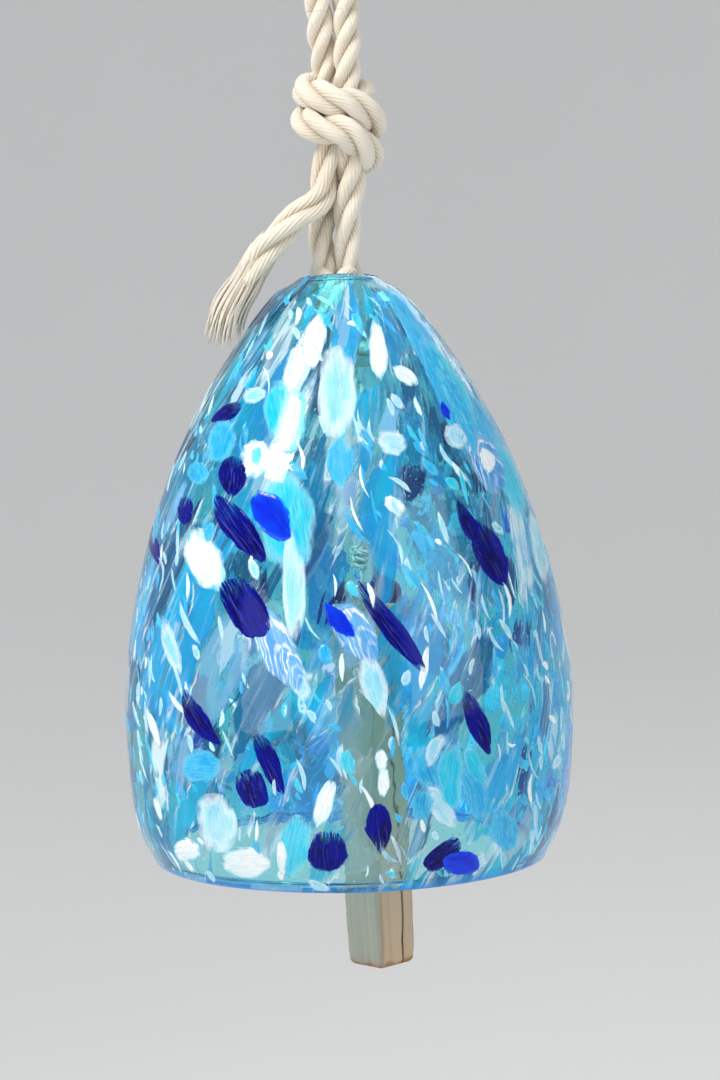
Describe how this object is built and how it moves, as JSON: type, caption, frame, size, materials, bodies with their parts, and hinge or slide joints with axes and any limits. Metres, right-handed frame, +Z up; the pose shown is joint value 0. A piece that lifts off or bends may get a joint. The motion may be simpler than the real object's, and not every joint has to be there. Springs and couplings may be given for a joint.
{
  "type": "glass wind chime",
  "caption": "Blown glass bell with fused colour chips, hung on a knotted doubled rope, with a square wooden clapper on a twine inside.",
  "frame": {"origin": "inside top of the rope's hanging loop, where a hook carries it", "axes": "+Z up along the plumb line, -Y towards the front, +X to the right seen from the front"},
  "size_m": [0.1141, 0.114, 0.3016],
  "materials": {
    "rope": "natural three-strand cotton rope",
    "bell_glass": "clear aqua glass with fused navy, turquoise and white chips, fire polished",
    "twine": "thin natural cotton twine",
    "eye_steel": "plain zinc-plated wire",
    "clapper_wood": "bare weathered softwood"
  },
  "bodies": {
    "hook_loop": {"hanging_loop": "rope"},
    "loop_sides": {"loop_side_left": "rope", "loop_side_right": "rope"},
    "loop_legs": {"loop_leg_left": "rope", "loop_leg_right": "rope"},
    "knotted_rope": {"outer_knot": "rope", "rope_tail": "rope", "neck_leg_left": "rope", "neck_leg_right": "rope", "stopper_knot": "rope"},
    "bell": {"glass_bell": "bell_glass"},
    "hitch": {"twine_hitch": "twine"},
    "string": {"twine": "twine"},
    "string_end": {"twine_knot": "twine", "twine_loop": "twine"},
    "striker": {"clapper": "clapper_wood", "screw_eye": "eye_steel"}
  },
  "joints": [
    {"name": "chime_swing", "type": "hinge", "parent": "hook_loop", "child": "loop_sides", "pos_m": [0, 0, -0.01], "axis": [1, 0, 0], "range_deg": [-20, 20], "deforming": ["loop_side_left", "loop_side_right"]},
    {"name": "chime_sway", "type": "hinge", "parent": "loop_sides", "child": "loop_legs", "pos_m": [0, 0, -0.046], "axis": [0, 1, 0], "range_deg": [-15, 15], "deforming": ["loop_leg_left", "loop_leg_right"]},
    {"name": "rope_twist", "type": "hinge", "parent": "loop_legs", "child": "knotted_rope", "pos_m": [0, 0, -0.067], "axis": [0, 0, 1], "range_deg": [-90, 90], "stiffness_Nm_per_rad": 0.0015},
    {"name": "bell_rock", "type": "hinge", "parent": "knotted_rope", "child": "bell", "pos_m": [0, 0, -0.1229], "axis": [1, 0, 0], "range_deg": [-6, 6]},
    {"name": "clapper_swing", "type": "hinge", "parent": "knotted_rope", "child": "hitch", "pos_m": [0, 0, -0.1395], "axis": [1, 0, 0], "range_deg": [-13, 13]},
    {"name": "clapper_sway", "type": "hinge", "parent": "hitch", "child": "string", "pos_m": [0, 0, -0.1468], "axis": [0, 1, 0], "range_deg": [-10, 13], "deforming": ["twine"]},
    {"name": "clapper_twist", "type": "hinge", "parent": "string", "child": "string_end", "pos_m": [0, 0, -0.1866], "axis": [0, 0, 1], "range_deg": [-180, 180]},
    {"name": "clapper_rock", "type": "hinge", "parent": "string_end", "child": "striker", "pos_m": [0, 0, -0.1969], "axis": [-1, 0, 0], "range_deg": [-8, 8]}
  ]
}
